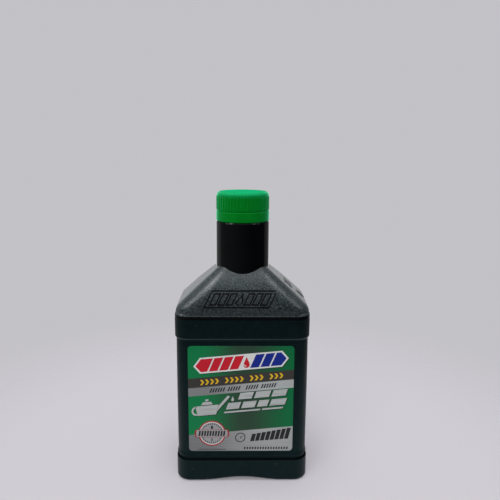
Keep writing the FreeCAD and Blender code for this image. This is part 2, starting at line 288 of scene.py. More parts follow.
def rings(radius, height, angles):
    """Points at a polar radius and height about the bottle's axis, for each row and angle."""
    radius, height = np.broadcast_arrays(radius, height, np.zeros(len(angles)))[:2]
    return np.stack([radius * np.cos(angles), radius * np.sin(angles), height], -1)


def outline(angles, half_x, half_y, corner_r):
    """Polar radius of a rounded rectangle.

    A ray from the middle meets the side where x is half_x, the front where y is half_y,
    or, between them, the circle of the corner.
    """
    across, along = np.abs(np.cos(angles)), np.abs(np.sin(angles))
    middle_x, middle_y = half_x - corner_r, half_y - corner_r
    side = half_x / np.maximum(across, 1e-9)
    front_side = half_y / np.maximum(along, 1e-9)
    off = along * middle_x - across * middle_y
    corner = across * middle_x + along * middle_y + np.sqrt(np.maximum(corner_r**2 - off**2, 0))
    flat = np.where(side * along <= middle_y, side, front_side)
    on_flat = (side * along <= middle_y) | (front_side * across <= middle_x)
    return np.where(on_flat, flat, corner)


def smooth_step(value, low, high):
    """0 below low and 1 above high, with a smooth S between them."""
    t = np.clip((value - low) / (high - low), 0, 1)
    return t * t * (3 - 2 * t)


def arch(x):
    """Height of the arch under the base: one wave of a cosine from foot to foot."""
    wave = ARCH_HEIGHT / 2 * (1 + np.cos(np.pi * x / ARCH_HALF))
    return np.where(np.abs(x) < ARCH_HALF, wave, 0)


def underside(x, y):
    """Height of the base's underside: the arch, and a dish between the feet."""
    inside = np.minimum(DISH_HALF_X - np.abs(x), DISH_HALF_Y - np.abs(y))
    dish = smooth_step(inside, -0.4, 5.4)
    return arch(x) * (1 - dish) + DISH_DEPTH * dish


def side_line(height):
    """Half-width of the shoulder: upright at the band, an arc, then nearly straight to the neck."""
    start = WIDTH / 2 - SHOULDER_LEDGE
    across = NECK_R - start + SIDE_ROUND_R
    reach = math.hypot(across, SHOULDER_RISE)
    lean = math.atan2(SHOULDER_RISE, across) - math.acos(SIDE_ROUND_R / reach)
    arc = start - SIDE_ROUND_R + np.sqrt(np.maximum(SIDE_ROUND_R**2 - height**2, 0))
    swell = SIDE_SWELL * np.sin(np.pi * np.clip((height - 6) / (SHOULDER_RISE - 6), 0, 1))
    slope = NECK_R + (SHOULDER_RISE - height) * math.tan(lean) + swell
    return np.where(height <= SIDE_ROUND_R * math.sin(lean), arc, slope)


def front_line(height):
    """Half-depth of the shoulder: a power curve from the band to the neck."""
    start = DEPTH / 2 - SHOULDER_LEDGE
    return start - (start - NECK_R) * (height / FRONT_RISE) ** FRONT_BULGE


def ridge_radius(height):
    """Radius of the shoulder's ridges, broadest halfway up and sharpest at the neck."""
    broader = RIDGE_SWELL * np.sin(np.pi * np.clip(height / SHOULDER_RISE, 0, 1))
    return RIDGE_R_FOOT + height / (SHOULDER_RISE + NECK_R / 3) * (RIDGE_R_TOP - RIDGE_R_FOOT) + broader


def shoulder_radius(angles, height, inset):
    """Polar radius of the shoulder: a rounded rectangle whose sides and corners change upwards."""
    return outline(
        angles,
        side_line(height) - inset,
        front_line(height) - inset,
        ridge_radius(height) - inset,
    )


def neck_crease(angles, inset):
    """Height above the band at which the shoulder meets the neck, found by halving."""
    low = np.full(len(angles), SHOULDER_RISE * 0.8)
    high = np.full(len(angles), SHOULDER_RISE + NECK_R / 3)
    for _ in range(30):
        half = (low + high) / 2
        outside = shoulder_radius(angles, half, inset) > NECK_R - inset
        low = np.where(outside, half, low)
        high = np.where(outside, high, half)
    return (low + high) / 2


def upright(*values):
    """One column of values, so that each makes a row of points all round."""
    return np.concatenate([np.atleast_1d(value) for value in values])[:, None]


def thread_height(angles, height, start, turns, root, crest):
    """A thread's rise from 0 to 1: a trapezium across a right-hand helix from start."""
    rise = np.zeros(np.broadcast(angles, height).shape)
    turned = np.mod(angles, 2 * np.pi) / (2 * np.pi)
    for lap in range(int(turns) + 1):
        travel = turned + lap
        away = np.abs(height - start - THREAD_PITCH * travel)
        end = np.clip(np.minimum(travel, turns - travel) / 0.03, 0, 1)
        rise = np.maximum(rise, end * np.clip((root / 2 - away) / ((root - crest) / 2), 0, 1))
    return rise


def arc_rows(radius, count, start, end):
    """Inset and height of points on a quarter circle, from one angle to another."""
    turn = np.radians(np.linspace(start, end, count))
    return radius * (1 - np.cos(turn)), radius * np.sin(turn)


spans = ((-23, 23, 20), (23, 63, 60), (63, 117, 54), (117, 157, 60))
spans += tuple((a + 180, b + 180, n) for a, b, n in spans)
angles = np.radians(np.concatenate([np.linspace(a, b, n, endpoint=False) for a, b, n in spans]))

foot_ring = outline(angles, WIDTH / 2 - HEEL_R, DEPTH / 2 - HEEL_R, CORNER_R - HEEL_R)
out = np.linspace(0.04, 1, 30)[:, None]
base = rings(out * foot_ring, 0, angles)
base[..., 2] = underside(base[..., 0], base[..., 1])

heel_turn = np.radians(np.linspace(8, 90, 9))
lip_turn = np.radians(np.linspace(0, 90, 7))
wall_z = upright(
    HEEL_R * (1 - np.cos(heel_turn)),
    [3.2, 6, 10, 14, 16.6, 17.3],
    [17.9, 18.1, 18.25, 18.4, 18.6, 18.9, 19.2, 20.2, 20.6, 20.9, 21.15, 21.45],
    [21.8, 22.4, 23.2, 24.0, 24.6, 25.4, 40, 60, 80, 100, 114.5, 115.2],
    PANEL_TOP - 0.2 + LIP_R * (1 - np.cos(lip_turn)),
    [117.9, 118.6, 125, 130.5, 131.8],
    [132.6, 133.4, 134.0, 134.4, 134.65, 134.9, 135.15],
)
wall_inset = upright(
    HEEL_R * (1 - np.sin(heel_turn)),
    [0, 0, 0, 0, 0, 0],
    [0.03, 0.12, 0.30, 0.62, 0.95, 1.25, 1.3, 1.3, 1.22, 1.0, 0.72, 0.5],
    [0.42, 0.5, 0.74, 0.98, 1.08, 1.1, 1.1, 1.1, 1.1, 1.1, 1.1, 1.1],
    LIP_R * (1 - np.sin(lip_turn)),
    [0, 0, 0, 0, 0],
    [0.0, 0.0, 0.03, 0.15, 0.32, 0.46, 0.50],
)
wall_radius = outline(angles, WIDTH / 2 - wall_inset, DEPTH / 2 - wall_inset, CORNER_R - wall_inset)
bulge = PANEL_BELLY * np.clip(1 - ((wall_z - 70) / 44) ** 2, 0, 1)
belly = bulge * smooth_step(np.abs(np.cos(angles)), 0.86, 0.95)
walls = rings(wall_radius + belly, wall_z, angles)
walls[..., 2] += arch(walls[..., 0]) * (1 - smooth_step(walls[..., 2], 0, 15))

crease = neck_crease(angles, 0)
climb = np.concatenate([np.linspace(0.012, 0.30, 18), np.linspace(0.33, 0.95, 18), [0.975, 0.99, 1.0]])
rise = climb[:, None] * crease
shoulder = rings(shoulder_radius(angles, rise, 0), BAND_TOP + rise, angles)

neck_foot = BAND_TOP + crease
neck_climb = upright([0.004, 0.02, 0.1, 0.3, 0.5, 0.7, 0.9, 0.97, 0.99])
neck = rings(NECK_R, neck_foot + neck_climb * (NECK_STEP - 1.1 - neck_foot), angles)

edge_inset, edge_rise = arc_rows(1.0, 7, 0, 90)
step = rings(upright(NECK_R - edge_inset), upright(NECK_STEP - 1.0 + edge_rise), angles)
inward_z = NECK_STEP + upright([0.0, 0.0, 0.05, 0.3])
inward = rings(upright([19.2, 18.2, 17.5, FINISH_R]), inward_z, angles)

bead_z = [203, 207.0, 207.18, 207.3, 207.7, 208.1, 209.1, 209.3, 210]
finish_z = upright(bead_z, np.linspace(211, 221.2, 28))
bead = np.interp(finish_z, [207.0, 207.2, 208.0, 209.2], [0, BEAD_OUT, BEAD_OUT, 0])
bead = bead * ((finish_z > 207) & (finish_z < 209.3))
ridge = THREAD_OUT * thread_height(angles, finish_z, THREAD_START, 1.5, 2.1, 1.0)
finish = rings(FINISH_R + bead + ridge, finish_z, angles)

mouth_inset, mouth_rise = arc_rows(MOUTH_EDGE_R, 4, 0, 90)
mouth_r = upright(FINISH_R - mouth_inset, [MOUTH_R + 0.3, MOUTH_R])
mouth_z = upright(MOUTH_TOP - MOUTH_EDGE_R + mouth_rise, [MOUTH_TOP, MOUTH_TOP - 0.3])
mouth = rings(mouth_r, mouth_z, angles)

bore_r = upright([MOUTH_R, MOUTH_R, 16.5, 18.4, NECK_R - WALL, NECK_R - WALL])
bore = rings(bore_r, upright([212, 202.0, 200.4, 197.8, 196.2, 185]), angles)
inner_crease = neck_crease(angles, WALL)
fall = upright(np.linspace(1.0, 0.3, 12), np.linspace(0.24, 0.0, 8)) * inner_crease
inner_shoulder = rings(shoulder_radius(angles, fall, WALL), BAND_TOP - WALL + fall, angles)
inner_z = upright([134.0, 118.6, 117.0, 115.6, 60, 18.6, 17.6, 6, 3.9, 3.5])
inner_inset = upright([0.9, 0.8, 1.2, 1.9, 1.9, 1.9, 0.8, 0.8, 1.6, 3.0])
inner_radius = outline(angles, WIDTH / 2 - inner_inset, DEPTH / 2 - inner_inset, CORNER_R - inner_inset)
inner_walls = rings(inner_radius, inner_z, angles)
inward_steps = np.linspace(1.0, 0.05, 14)[:, None]
inner_base = rings(inward_steps * (foot_ring - WALL), 0, angles)
inner_base[..., 2] = underside(inner_base[..., 0], inner_base[..., 1]) + WALL + 0.05

shell_rows = [base, walls, shoulder, neck, step, inward, finish, mouth]
shell_rows += [bore, inner_shoulder, inner_walls, inner_base]
bottle = grid_mesh("bottle_shell", np.concatenate(shell_rows), wrap=True, start_pole=True, end_pole=True)


def plastic(name, dark, light, roughness, specular, grain_scale):
    """Moulded plastic: a colour clouded between dark and light, and its own gloss.

    Gives back the material, its tree and shader, the place in the piece, and the cloud.
    """
    material = bpy.data.materials.new(name)
    material.use_nodes = True
    tree = material.node_tree
    shader = tree.nodes["Principled BSDF"]
    shader.inputs["Specular IOR Level"].default_value = specular
    place = add_node(tree, "ShaderNodeTexCoord").outputs["Object"]
    cloud = noise(tree, place, grain_scale, 4.0)
    spread = ranged(tree, cloud, 0.3, 0.7)
    tree.links.new(mixed(tree, spread, dark, light), shader.inputs["Base Color"])
    uneven = ranged(tree, cloud, 0.3, 0.7, roughness - 0.03, roughness + 0.03)
    tree.links.new(uneven, shader.inputs["Roughness"])
    return material, tree, shader, place, spread


def above(tree, place):
    """Height of the place over the floor, in metres."""
    return add_node(tree, "ShaderNodeSeparateXYZ", {"Vector": place}).outputs["Z"]


def relief(tree, shader, height, strength, distance):
    """Small relief on the surface, from a height between 0 and 1."""
    bump = add_node(tree, "ShaderNodeBump", {"Height": height, "Strength": strength, "Distance": distance})
    tree.links.new(bump.outputs["Normal"], shader.inputs["Normal"])


def dusted(tree, shader, place, scale, amount):
    """Pale specks of dust: the small cores of some of the cells of a scattered pattern."""
    cells = add_node(tree, "ShaderNodeTexVoronoi", {"Vector": place, "Scale": scale})
    chance = add_node(tree, "ShaderNodeSeparateColor", {"Color": cells.outputs["Color"]}).outputs["Red"]
    core = ranged(tree, cells.outputs["Distance"], 0.05, 0.09, 1.0, 0.0)
    speck = worked(tree, "MULTIPLY", core, ranged(tree, chance, amount, amount + 0.01, 1.0, 0.0))
    under = shader.inputs["Base Color"].links[0].from_socket
    tree.links.new(mixed(tree, speck, under, DUST_COLOUR), shader.inputs["Base Color"])


def parting_line(tree, place):
    """Height of the mould's parting line, a fine ridge up both sides where y is 0."""
    y = add_node(tree, "ShaderNodeSeparateXYZ", {"Vector": place}).outputs["Y"]
    return ranged(tree, worked(tree, "ABSOLUTE", y), 0.0001, 0.0003, 1.0, 0.0, smooth=True)


# Satin body: a faint teal sheen, dust, and a painted highlight: the edge under the upper
# band gets a much higher specular level, so that it shows as a light line.
body_plastic, tree, shader, place, cloud = plastic(
    "satin_black_body", BLACK_DARK, BLACK_LIGHT, 0.40, SATIN_SPECULAR, 260.0
)
shader.inputs["Specular Tint"].default_value = (0.5, 0.95, 1.0, 1.0)
parted = worked(tree, "MULTIPLY_ADD", parting_line(tree, place), 4.0, noise(tree, place, 1500.0, 3.0))
relief(tree, shader, parted, 0.12, 0.00005)
dusted(tree, shader, place, 260.0, 0.045)
# Painted highlight: a raised specular level along the edge under the upper band.
over_edge = ranged(tree, above(tree, place), 0.1161, 0.1165)
lip_highlight = worked(tree, "MULTIPLY", over_edge, ranged(tree, above(tree, place), 0.1170, 0.1177, 1.0, 0.0))
specular = ranged(tree, lip_highlight, 0.0, 1.0, SATIN_SPECULAR, LIP_HIGHLIGHT_SPECULAR)
tree.links.new(specular, shader.inputs["Specular IOR Level"])

shoulder_plastic, tree, shader, place, cloud = plastic(
    "grained_black_shoulder", GRAIN_DARK, GRAIN_LIGHT, 0.36, 0.5, 900.0
)
parted = worked(tree, "MULTIPLY_ADD", parting_line(tree, place), 2.0, noise(tree, place, 900.0, 2.0))
relief(tree, shader, parted, 0.7, 0.0002)

neck_plastic, tree, shader, place, cloud = plastic(
    "glossy_black_neck", GLOSSY_DARK, GLOSSY_LIGHT, 0.10, 0.25, 80.0
)
relief(tree, shader, worked(tree, "MULTIPLY_ADD", parting_line(tree, place), 4.0, cloud), 0.1, 0.00005)
dusted(tree, shader, place, 240.0, 0.03)

# Painted shade: the low groove gets a darker, dull black so that it renders as a line in shadow.
groove_shade_plastic = plastic("black_groove_painted_shade", GROOVE_SHADE_DARK, GROOVE_SHADE_LIGHT, 0.65, 0.02, 90.0)[0]

# Which finish each row of faces has. The inside, from the bore down, is satin.
SATIN, GRAINED, GLOSSY, SHADED_GROOVE = range(4)
for finish_plastic in (body_plastic, shoulder_plastic, neck_plastic, groove_shade_plastic):
    bottle.data.materials.append(finish_plastic)
row_z = wall_z[:, 0]
in_groove = (row_z > GROOVE_FOOT) & (row_z < GROOVE_TOP)
shaded_crease = (row_z > CREASE_SHADE_FOOT) & (row_z < CREASE_SHADE_TOP)
wall_finish = np.select([in_groove, shaded_crease, row_z > GRAIN_FOOT], [SHADED_GROOVE, GLOSSY, GRAINED], SATIN)
neck_rows = sum(len(rows) for rows in (neck, step, inward, finish, mouth)) + 4
row_finish = np.concatenate(
    [
        np.full(len(base), SATIN),
        wall_finish,
        np.full(len(shoulder) - 1, GRAINED),
        np.full(neck_rows, GLOSSY),
        np.full(len(bore) + len(inner_shoulder) + len(inner_walls) + len(inner_base) - 4, SATIN),
    ]
)
face_finish = np.concatenate([np.repeat(row_finish, len(angles)), np.full(2 * len(angles), SATIN)])
bottle.data.polygons.foreach_set("material_index", face_finish)
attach(bottle, "bottle")
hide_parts("bottle")

# The scar under the base: a thin ridge left along the dish where the mould pinched the
# hot tube shut. It is part of the same plastic, half round and wavy along its length.
SCAR_HALF = 29.0
SCAR_HALF_WIDTH = 0.45
SCAR_ROOT = 4.85
SCAR_FOOT = 3.8

along = np.linspace(-SCAR_HALF, SCAR_HALF, 90)[:, None]
turn = np.linspace(0, np.pi, 11)
wave = 1 + 0.12 * np.sin(along * 1.3) + 0.06 * np.sin(along * 3.7)
tip = np.sqrt(np.clip(1 - (np.abs(along) / (SCAR_HALF + 0.01)) ** 16, 0, 1))
sideways = -SCAR_HALF_WIDTH * np.cos(turn) * (0.3 + 0.7 * tip)
downwards = SCAR_ROOT - (SCAR_ROOT - SCAR_FOOT) * np.sin(turn) * wave * tip
scar_points = np.stack(np.broadcast_arrays(along, sideways, downwards), -1)
scar = grid_mesh("base_pinch_scar", scar_points[:, ::-1])
scar.data.materials.append(body_plastic)
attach(scar, "bottle")

# The shoulder's moulded marks, in the same grained plastic. A slanted frame with an oil
# drop between bars is on the front, drawn by shallow lines on a low pad. Three bars and a
# drop in a ring stand proud on the right side, cut deeper into the mould steel. The lines
# and raised marks are painted darker and less shiny, as shade.
PAD_RISE = 0.09
PAD_SINK = 0.03
PAD_BORDER = 3.0
CUT_DEPTH = 0.07
CUT_WIDTH = 0.68
MARK_HEIGHT = 0.45
MARK_LEAN = 0.5
MARK_MIDDLE = 12.0
CUT_SHADE_COLOUR = (0.004, 0.004, 0.004)


def leaning_box(across, height, middle, half_width, half_height, centre_height=MARK_MIDDLE, lean=MARK_LEAN):
    """Distance outside a leaning box, and inside it as a negative number.

    It is the larger of the distances past its side and past its top or foot, where the
    side moves by the lean for each step up.
    """
    sideways = np.abs(across - middle - lean * (height - centre_height)) - half_width
    return np.maximum(sideways, np.abs(height - centre_height) - half_height)


def drop_distance(across, height, middle, foot, size):
    """Distance outside an oil drop: a half circle below, whose sides run up to a point."""
    up = (height - foot) / size
    half = size * np.where(up < 0, np.sqrt(np.clip(1 - up**2, 0, 1)), np.clip(1 - up / 2.1, 0, 1) ** 1.2)
    below = np.maximum(-(height - foot) - size, (height - foot) - 2.1 * size)
    return np.maximum(np.abs(across - middle) - half, below)


def moulded_pad(name, across, height, fields, depth=CUT_DEPTH, on_side=False):
    """A low pad that follows the shoulder, with a cut where a field's distance is near 0.

    The pad lies on the rounded face of the shoulder, narrows upwards by 2 % a millimetre
    as that does, and rises from just under the surface at its border by a smooth step.
    It sinks by the depth where it is cut, or rises where that is negative. How far each
    point is cut, from 0 to 1, is kept for the painted shade of the marks.
    """
    across, height = np.meshgrid(np.linspace(*across), np.linspace(*height))
    edge = np.minimum(
        np.minimum(across - across.min(), across.max() - across),
        np.minimum(height - height.min(), height.max() - height),
    )
    across = across * (1 - 0.02 * (height - MARK_MIDDLE))
    distances = np.stack([field(across, height) for field in fields])
    cut = 1 - smooth_step(np.min(np.abs(distances), axis=0), CUT_WIDTH * 0.55, CUT_WIDTH)
    rise = -PAD_SINK + (PAD_RISE + PAD_SINK) * smooth_step(edge, 0, PAD_BORDER) - depth * cut
    half_x, half_y, ridge = side_line(height), front_line(height), ridge_radius(height)
    out_to, along_to = (half_x, half_y) if on_side else (half_y, half_x)
    past = np.clip(np.abs(across) - (along_to - ridge), 0, ridge)
    out = out_to - ridge + np.sqrt(ridge**2 - past**2) + rise
    place = (out, across) if on_side else (across, -out)
    pad = grid_mesh(name, np.stack([*place, BAND_TOP + height], -1))
    marked = pad.data.attributes.new("cut", "FLOAT", "POINT")
    marked.data.foreach_set("value", cut.ravel())
    pad.data.materials.append(marked_plastic)
    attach(pad, "bottle")


marked_plastic, tree, shader, place, cloud = plastic(
    "grained_black_marks", GRAIN_DARK, GRAIN_LIGHT, 0.36, 0.5, 900.0
)
relief(tree, shader, noise(tree, place, 900.0, 2.0), 0.7, 0.0002)
# Painted shade: the cut lines and raised marks are coloured darker and reflect less.
cut_share = add_node(tree, "ShaderNodeAttribute", attribute_name="cut").outputs["Fac"]
under = shader.inputs["Base Color"].links[0].from_socket
painted_cut_shade = mixed(tree, ranged(tree, cut_share, 0.1, 0.8), under, CUT_SHADE_COLOUR)
tree.links.new(painted_cut_shade, shader.inputs["Base Color"])
tree.links.new(ranged(tree, cut_share, 0.1, 0.8, 0.5, 0.08), shader.inputs["Specular IOR Level"])

front_bars = (-20.2, -14.1, -8.0, 5.2, 11.3, 17.4)
front_fields = [lambda a, h: leaning_box(a, h, -1.5, 24.0, 5.9)]
front_fields += [lambda a, h, m=m: leaning_box(a, h, m, 2.1, 3.9) for m in front_bars]
front_fields += [lambda a, h: drop_distance(a - MARK_LEAN * (h - MARK_MIDDLE), h, -1.4, 10.4, 2.4)]
moulded_pad("shoulder_front_marks", (-32.5, 29.5, 370), (2.6, 21.4, 120), front_fields)
side_fields = [
    lambda a, h, m=m: np.maximum(leaning_box(a, h, m, 1.3, 2.3, 17.5, 0.0), 0) for m in (-5.0, -1.0, 3.0)
]
moulded_pad("shoulder_side_marks", (-8, 8, 90), (13, 22, 50), side_fields, -MARK_HEIGHT, True)
low_fields = [lambda a, h: np.hypot(a, h - 8.2) - 2.5]
low_fields += [lambda a, h: np.maximum(drop_distance(a, h, 0, 7.6, 0.9), 0)]
moulded_pad("shoulder_low_mark", (-5.5, 5.5, 70), (3.4, 12.8, 56), low_fields, -MARK_HEIGHT, True)

# The tamper ring: a green polypropylene band, 7.5 mm tall, that stays on the neck when
# the cap is turned. Its edges are rounded, the stubs of eight snapped bridges stand on
# its rim, and eight lugs inside hold it under the neck's bead.
RING_FOOT = 202.35
RING_TOP = 209.9
RING_BORE_R = 19.5
LUG_REACH = 1.5
LUG_COUNT = 8
STUB_HEIGHT = 0.18
STUB_COUNT = 8
GREEN_DARK = (0.0012, 0.150, 0.0100)
GREEN_LIGHT = (0.0018, 0.168, 0.0125)
GREEN_TOP_PAINTED_LIGHT = (0.004, 0.215, 0.070)

around = np.linspace(0, 2 * np.pi, 480, endpoint=False)


def lobes(angles, count, half_width, edge, first=0.0):
    """1 on evenly spaced patches of a turn and 0 between them, with sloped edges."""
    spacing = 2 * np.pi / count
    away = np.abs(np.mod(angles - first + spacing / 2, spacing) - spacing / 2)
    return np.clip((half_width - away) / edge + 0.5, 0, 1)


outside_z = upright(
    [RING_FOOT, 202.39, 202.51, 202.7, 203.0, 204.4, 206],
    [208, 209.3, 209.6, 209.78, 209.87, RING_TOP],
)
outside_r = upright(
    [19.95, 20.2, 20.38, 20.47, 20.5, 20.5, 20.5],
    [20.48, 20.47, 20.45, 20.36, 20.2, 20.05],
)
stub = lobes(around, STUB_COUNT, 0.02, 0.006)
rim_z = RING_TOP + STUB_HEIGHT * upright([0, 1, 1, 0]) * stub
lug = lobes(around, LUG_COUNT, 0.17, 0.02, np.pi / LUG_COUNT)
inside_z = upright(
    [209.8, 207.2, 206.95, 206.9, 206.4, 206.0],
    [205.6, 205.2, 204.6, 204.0, 203.2, RING_FOOT],
)
lug_profile = upright([0, 0, 1.0, 1.0, 1.0, 1.0], [0.72, 0.45, 0.15, 0, 0, 0])
ring_points = np.concatenate(
    [
        rings(outside_r, outside_z, around),
        rings(upright([20.03, 20.0, 19.8, 19.75]), rim_z, around),
        rings(RING_BORE_R - LUG_REACH * lug_profile * lug, inside_z, around),
        rings(19.95, upright(RING_FOOT), around),
    ]
)
ring = grid_mesh("tamper_ring_band", ring_points, wrap=True)

green_plastic, tree, shader, place, cloud = plastic(
    "green_closure_plastic", GREEN_DARK, GREEN_LIGHT, 0.30, 0.10, 120.0
)
high = above(tree, place)
under = shader.inputs["Base Color"].links[0].from_socket
# Painted light: the cap's top and upper rounding are coloured a paler teal green, as lit from overhead.
painted_top_light = mixed(tree, ranged(tree, high, 0.2196, 0.2238, smooth=True), under, GREEN_TOP_PAINTED_LIGHT)
tree.links.new(painted_top_light, shader.inputs["Base Color"])
tree.links.new(ranged(tree, high, 0.2232, 0.2246, 0.08, 0.0), shader.inputs["Specular IOR Level"])
relief(tree, shader, cloud, 0.08, 0.00005)
shader.inputs["Specular Tint"].default_value = (0.12, 1.0, 0.62, 1.0)
shader.inputs["Sheen Weight"].default_value = 0.75
shader.inputs["Sheen Roughness"].default_value = 0.35
shader.inputs["Sheen Tint"].default_value = (0.03, 1.0, 0.50, 1.0)
ring.data.materials.append(green_plastic)
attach(ring, "bottle")
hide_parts("tamper_ring")

# The screw cap: green polypropylene, moulded in one shot. Fifty rounded ribs run up its
# skirt and fade into the rounded edge of a plain top, and one thread winds inside it.
CAP_FOOT = 210.1
CAP_TOP = 224.7
RIB_FOOT = 210.7
RIB_FADE = 220.2
RIB_END = 222.0
CAP_R = 20.15
CAP_EDGE_R = 3.0
RIB_COUNT = 50
RIB_OUT = 0.30
CAP_BORE_R = 18.8
CAP_CEILING = 223.2
CAP_THREAD_START = 215.63

around = np.linspace(0, 2 * np.pi, RIB_COUNT * 14, endpoint=False)
rib_phase = np.cos(RIB_COUNT * around)
rib_shape = smooth_step(rib_phase, -0.55, 0.75)
skirt_z = upright(
    [CAP_FOOT, 210.14, 210.25, 210.45, 210.75, 211.0, 211.2, 211.5],
    np.linspace(212.2, RIB_FADE, 8),
    np.linspace(220.5, 221.7, 6),
)
skirt_r = CAP_R - np.interp(skirt_z, [CAP_FOOT, 210.14, 210.25, 210.45], [0.14, 0.07, 0.02, 0.0])
fade = smooth_step(skirt_z, RIB_FOOT, RIB_FOOT + 0.6) * (1 - smooth_step(skirt_z, RIB_FADE, RIB_END))
edge_inset, edge_rise = arc_rows(CAP_EDGE_R, 12, 6, 90)
top_in = np.linspace(CAP_R - CAP_EDGE_R - 1.2, 1.0, 10)
outside = np.concatenate(
    [
        rings(skirt_r + RIB_OUT * rib_shape * fade, skirt_z, around),
        rings(upright(CAP_R - edge_inset), upright(CAP_TOP - CAP_EDGE_R + edge_rise), around),
        rings(upright(top_in), CAP_TOP, around),
    ]
)
inside_z = upright(
    [CAP_CEILING, CAP_CEILING, CAP_CEILING - 0.3],
    np.linspace(222.4, 214.0, 24),
    [213, 211, 210.4, CAP_FOOT],
)
inside_r = CAP_BORE_R + upright([1.0 - CAP_BORE_R, -0.3], np.zeros(27), [0.1, 0.4])
winding = thread_height(around, inside_z, CAP_THREAD_START, 1.4, 1.5, 0.8) * (inside_z < 223)
inside = rings(inside_r - THREAD_OUT * winding, inside_z, around)
cap = grid_mesh("screw_cap", np.concatenate([inside, outside]), wrap=True, start_pole=True, end_pole=True)
cap.data.materials.append(green_plastic)
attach(cap, "cap")
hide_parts("cap")

# The liner: a disc of white foamed polyethylene pressed into the cap. It keeps the
# solid's own shape and gets the fine cells of foam and the pressed ring of the mouth.
FOAM_DARK = (0.66, 0.66, 0.64)
FOAM_LIGHT = (0.78, 0.78, 0.76)
PRESSED_R = 0.0163

liner_foam, tree, shader, place, cloud = plastic(
    "white_liner_foam", FOAM_DARK, FOAM_LIGHT, 0.6, 0.3, 2500.0
)
from_ring = worked(tree, "ABSOLUTE", worked(tree, "SUBTRACT", from_upright(tree, place), PRESSED_R))
pressed = ranged(tree, from_ring, 0.0009, 0.0012)
relief(tree, shader, worked(tree, "MULTIPLY_ADD", pressed, 3.0, cloud), 0.4, 0.0001)
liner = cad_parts["cap_liner"]
liner.data.materials.clear()
liner.data.materials.append(liner_foam)

# The label: a printed polypropylene film, 0.12 mm thick, stuck on the recessed front
# panel a little left of its middle. Slanted bands of green, dark grey and brushed silver
# fill it, and the green darkens to the middle.
LABEL_MIDDLE_X = -0.9
LABEL_MIDDLE_Z = 68.4
LABEL_HALF_X = 40.1
LABEL_HALF_Z = 43.0
LABEL_CORNER_R = 2.8
LABEL_BACK_Y = -32.40
LABEL_FACE_Y = -32.52
SLANT = 0.092
LOW_SILVER_TOP = -0.02585
GREEN_TOP = 0.0060
SILVER_TOP = 0.01275
GREY_TOP = 0.02055
INK_EDGE = 0.00006
GREEN_LEFT = (0.006, 0.165, 0.054)
GREEN_RIGHT = (0.004, 0.122, 0.042)
GREEN_MIDDLE = (0.024, 0.054, 0.033)
SILVER_DARK = (0.158, 0.166, 0.170)
SILVER_LIGHT = (0.208, 0.216, 0.220)
SILVER_HIGHLIGHT_DARK = (0.315, 0.332, 0.328)
SILVER_HIGHLIGHT_LIGHT = (0.395, 0.415, 0.41)
GREY_DARK = (0.036, 0.034, 0.031)
GREY_LIGHT = (0.046, 0.043, 0.039)


def streaked(tree, place, across, up, detail):
    """Noise drawn out sideways into the fine streaks of brushed metal."""
    drawn_out = add_node(tree, "ShaderNodeMapping", {"Vector": place, "Scale": (across, 1.0, up)})
    return noise(tree, drawn_out.outputs[0], 1.0, detail)


def away_from(tree, value, middle):
    """Distance of a value from a middle, to either side."""
    return worked(tree, "ABSOLUTE", worked(tree, "SUBTRACT", value, middle))


label_film = bpy.data.materials.new("printed_label_film")
label_film.use_nodes = True
tree = label_film.node_tree
shader = tree.nodes["Principled BSDF"]
shader.inputs["Specular IOR Level"].default_value = 0.12
place = add_node(tree, "ShaderNodeTexCoord").outputs["Object"]
parts = add_node(tree, "ShaderNodeSeparateXYZ", {"Vector": place})
u = worked(tree, "SUBTRACT", parts.outputs["X"], LABEL_MIDDLE_X * MM)
v = worked(tree, "SUBTRACT", parts.outputs["Z"], LABEL_MIDDLE_Z * MM)
w = worked(tree, "MULTIPLY_ADD", u, -SLANT, v)
streaks = streaked(tree, place, 40.0, 2600.0, 4.0)
outer_green = mixed(tree, ranged(tree, u, -0.01, 0.03, smooth=True), GREEN_LEFT, GREEN_RIGHT)
outwards = ranged(tree, away_from(tree, u, 0.004), 0.002, 0.036, smooth=True)
green = mixed(tree, outwards, GREEN_MIDDLE, outer_green)
# Painted highlight: the silver bands are coloured lighter in an upright stripe right of the middle, as a
# reflection of light.
silver_painted_highlight = ranged(tree, away_from(tree, u, 0.026), 0.004, 0.055, 1.0, 0.0, smooth=True)
silver_dark = mixed(tree, silver_painted_highlight, SILVER_DARK, SILVER_HIGHLIGHT_DARK)
silver_light = mixed(tree, silver_painted_highlight, SILVER_LIGHT, SILVER_HIGHLIGHT_LIGHT)
silver = mixed(tree, ranged(tree, streaks, 0.3, 0.7), silver_dark, silver_light)
grey = mixed(tree, ranged(tree, streaks, 0.2, 0.8), GREY_DARK, GREY_LIGHT)
colour = mixed(tree, ranged(tree, w, -0.044, -0.022, 0.20, 0.10), silver, (0.0, 0.0, 0.0))
bands = [(LOW_SILVER_TOP, green), (GREEN_TOP, silver), (SILVER_TOP, grey), (GREY_TOP, green)]
for band_foot, band in bands:
    colour = mixed(tree, ranged(tree, w, band_foot - INK_EDGE, band_foot + INK_EDGE), colour, band)
tree.links.new(colour, shader.inputs["Base Color"])
tree.links.new(ranged(tree, streaks, 0.3, 0.7, 0.36, 0.46), shader.inputs["Roughness"])
relief(tree, shader, streaks, 0.08, 0.00004)

